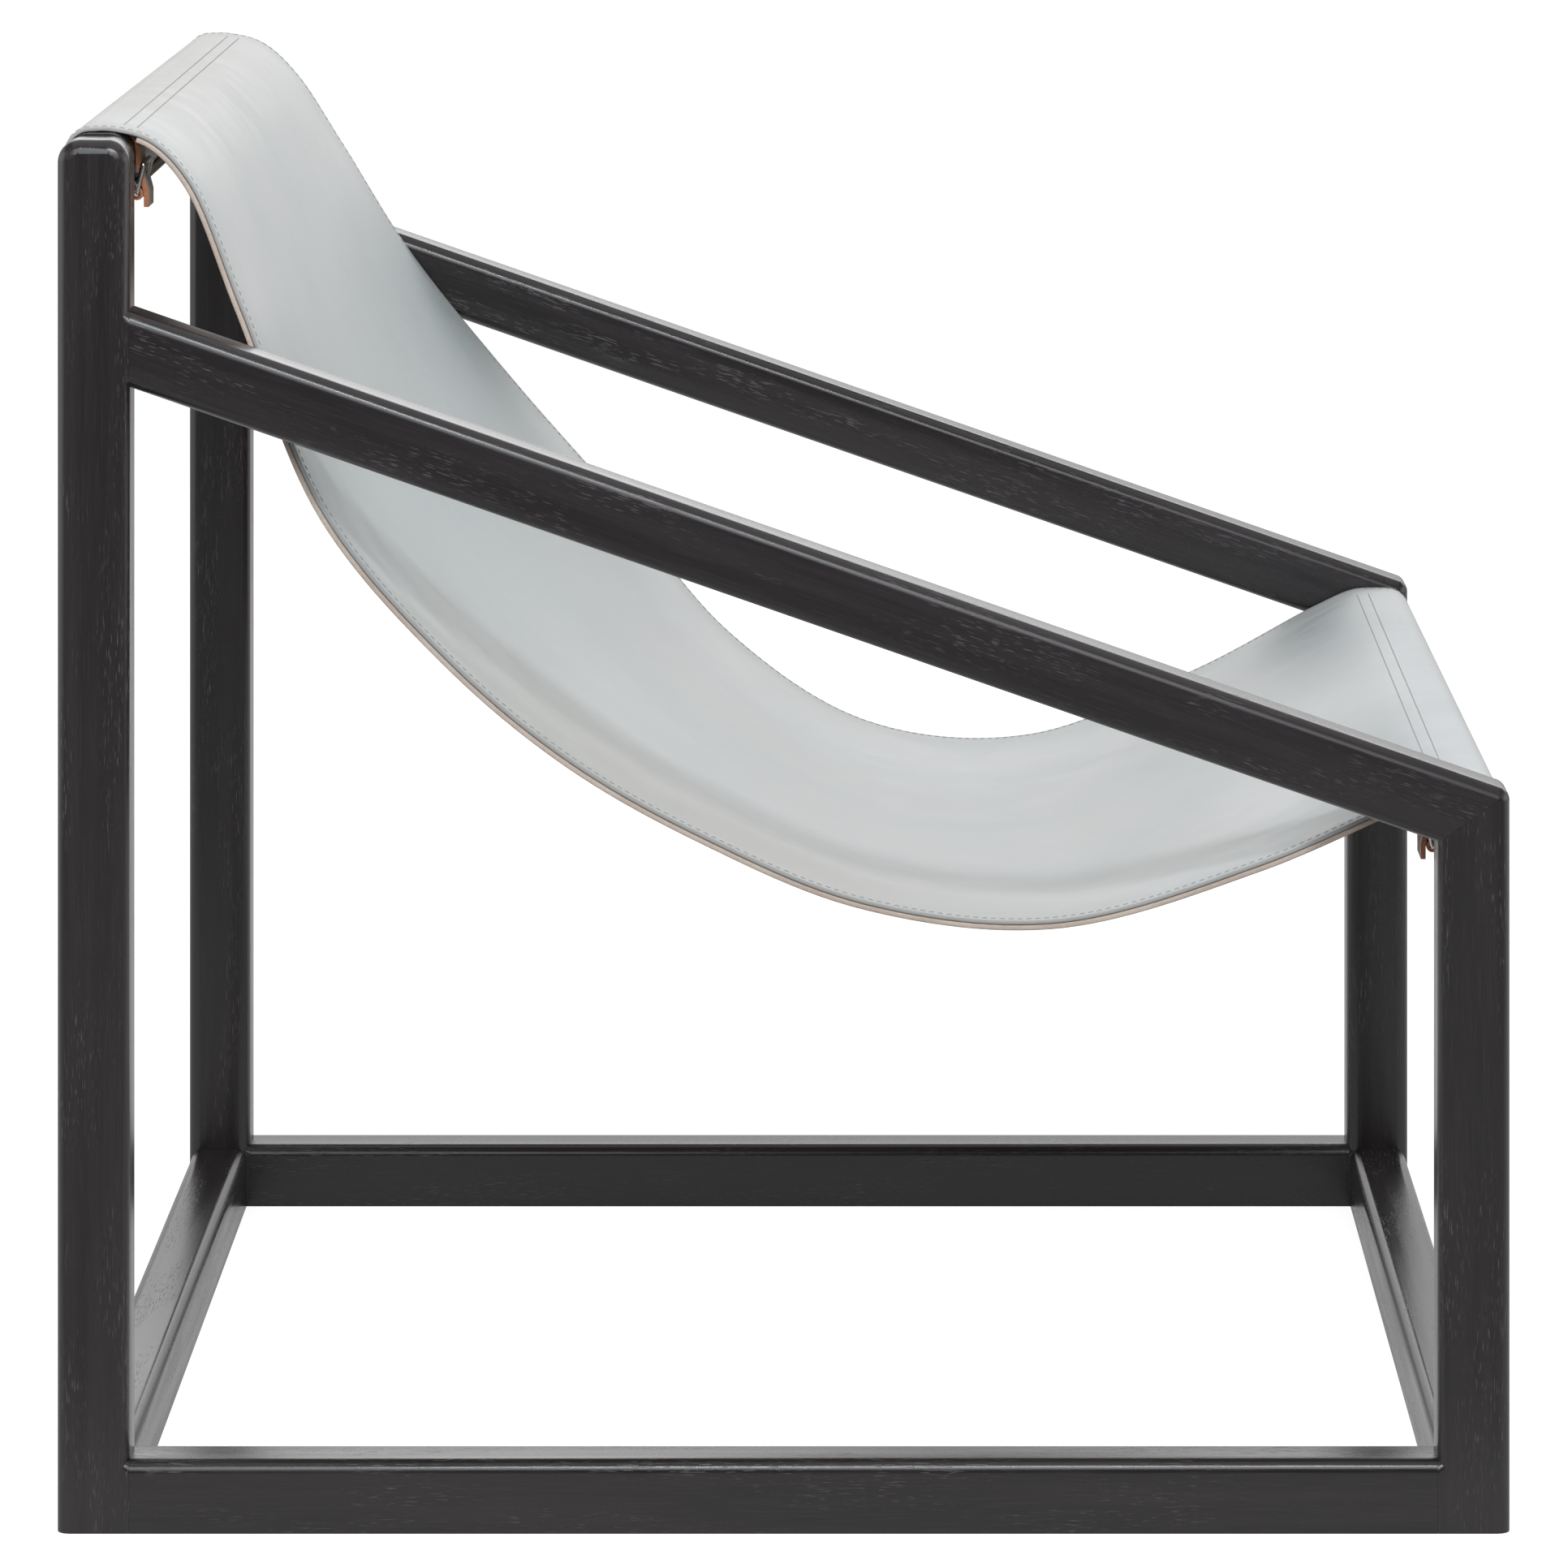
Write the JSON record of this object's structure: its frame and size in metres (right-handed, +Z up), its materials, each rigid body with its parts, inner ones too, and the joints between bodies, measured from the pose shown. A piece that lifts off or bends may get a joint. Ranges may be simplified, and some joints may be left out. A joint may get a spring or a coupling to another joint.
{
  "type": "leather sling lounge chair",
  "caption": "Low lounge chair: square ebonised wood frame with sloping armrests and a thick leather sling that wraps two cross rails and buckles underneath.",
  "frame": {"origin": "on the floor, under the middle of the chair's box", "axes": "+Z up, -Y towards the chair's front, -X the sitter's right"},
  "size_m": [0.76, 0.76, 0.7318],
  "materials": {
    "ebonised_wood": "ebonised open grain, satin",
    "tenon_wood": "bare hardwood",
    "face_leather": "pale grey-green saddle leather, soft sheen",
    "lining_leather": "undyed flesh side, matt",
    "strap_leather": "grey leather with raw brown edges",
    "nickel": "nickel plated"
  },
  "bodies": {
    "chair": {"right_rear_post": "ebonised_wood", "right_front_post": "ebonised_wood", "right_side_rail": "ebonised_wood", "right_armrest": "ebonised_wood", "left_rear_post": "ebonised_wood", "left_front_post": "ebonised_wood", "left_side_rail": "ebonised_wood", "left_armrest": "ebonised_wood", "rear_stretcher": "ebonised_wood", "front_stretcher": "ebonised_wood", "rear_sling_rail": "ebonised_wood", "front_sling_rail": "ebonised_wood", "right_rail_rear_tenon": "tenon_wood", "right_rail_front_tenon": "tenon_wood", "right_armrest_rear_tenon": "tenon_wood", "right_armrest_mitre_tenon": "tenon_wood", "left_rail_rear_tenon": "tenon_wood", "left_rail_front_tenon": "tenon_wood", "left_armrest_rear_tenon": "tenon_wood", "left_armrest_mitre_tenon": "tenon_wood", "rear_stretcher_right_tenon": "tenon_wood", "rear_stretcher_left_tenon": "tenon_wood", "front_stretcher_right_tenon": "tenon_wood", "front_stretcher_left_tenon": "tenon_wood", "rear_sling_rail_right_tenon": "tenon_wood", "rear_sling_rail_left_tenon": "tenon_wood", "front_sling_rail_right_tenon": "tenon_wood", "front_sling_rail_left_tenon": "tenon_wood", "sling_face": "face_leather", "sling_lining": "lining_leather", "rear_buckle_band": "strap_leather", "rear_strap_1": "strap_leather", "rear_buckle_frame_1": "nickel", "rear_strap_2": "strap_leather", "rear_buckle_frame_2": "nickel", "rear_strap_3": "strap_leather", "rear_buckle_frame_3": "nickel", "rear_strap_4": "strap_leather", "rear_buckle_frame_4": "nickel", "front_buckle_band": "strap_leather", "front_strap_1": "strap_leather", "front_buckle_frame_1": "nickel", "front_strap_2": "strap_leather", "front_buckle_frame_2": "nickel", "front_strap_3": "strap_leather", "front_buckle_frame_3": "nickel", "front_strap_4": "strap_leather", "front_buckle_frame_4": "nickel"},
    "rear_prong_1": {"rear_buckle_prong_1": "nickel"},
    "rear_prong_2": {"rear_buckle_prong_2": "nickel"},
    "rear_prong_3": {"rear_buckle_prong_3": "nickel"},
    "rear_prong_4": {"rear_buckle_prong_4": "nickel"},
    "front_prong_1": {"front_buckle_prong_1": "nickel"},
    "front_prong_2": {"front_buckle_prong_2": "nickel"},
    "front_prong_3": {"front_buckle_prong_3": "nickel"},
    "front_prong_4": {"front_buckle_prong_4": "nickel"}
  },
  "joints": [
    {"name": "rear_buckle_1_prong_hinge", "type": "hinge", "parent": "chair", "child": "rear_prong_1", "pos_m": [0.313, 0.34332, 0.69492], "axis": [1, 0, 0], "range_deg": [0, 30]},
    {"name": "rear_buckle_2_prong_hinge", "type": "hinge", "parent": "chair", "child": "rear_prong_2", "pos_m": [0.10433, 0.34332, 0.69492], "axis": [1, 0, 0], "range_deg": [0, 30]},
    {"name": "rear_buckle_3_prong_hinge", "type": "hinge", "parent": "chair", "child": "rear_prong_3", "pos_m": [-0.10433, 0.34332, 0.69492], "axis": [1, 0, 0], "range_deg": [0, 30]},
    {"name": "rear_buckle_4_prong_hinge", "type": "hinge", "parent": "chair", "child": "rear_prong_4", "pos_m": [-0.313, 0.34332, 0.69492], "axis": [1, 0, 0], "range_deg": [0, 30]},
    {"name": "front_buckle_1_prong_hinge", "type": "hinge", "parent": "chair", "child": "front_prong_1", "pos_m": [-0.313, -0.34332, 0.34935], "axis": [-1, 0, 0], "range_deg": [0, 30]},
    {"name": "front_buckle_2_prong_hinge", "type": "hinge", "parent": "chair", "child": "front_prong_2", "pos_m": [-0.10433, -0.34332, 0.34935], "axis": [-1, 0, 0], "range_deg": [0, 30]},
    {"name": "front_buckle_3_prong_hinge", "type": "hinge", "parent": "chair", "child": "front_prong_3", "pos_m": [0.10433, -0.34332, 0.34935], "axis": [-1, 0, 0], "range_deg": [0, 30]},
    {"name": "front_buckle_4_prong_hinge", "type": "hinge", "parent": "chair", "child": "front_prong_4", "pos_m": [0.313, -0.34332, 0.34935], "axis": [-1, 0, 0], "range_deg": [0, 30]}
  ]
}
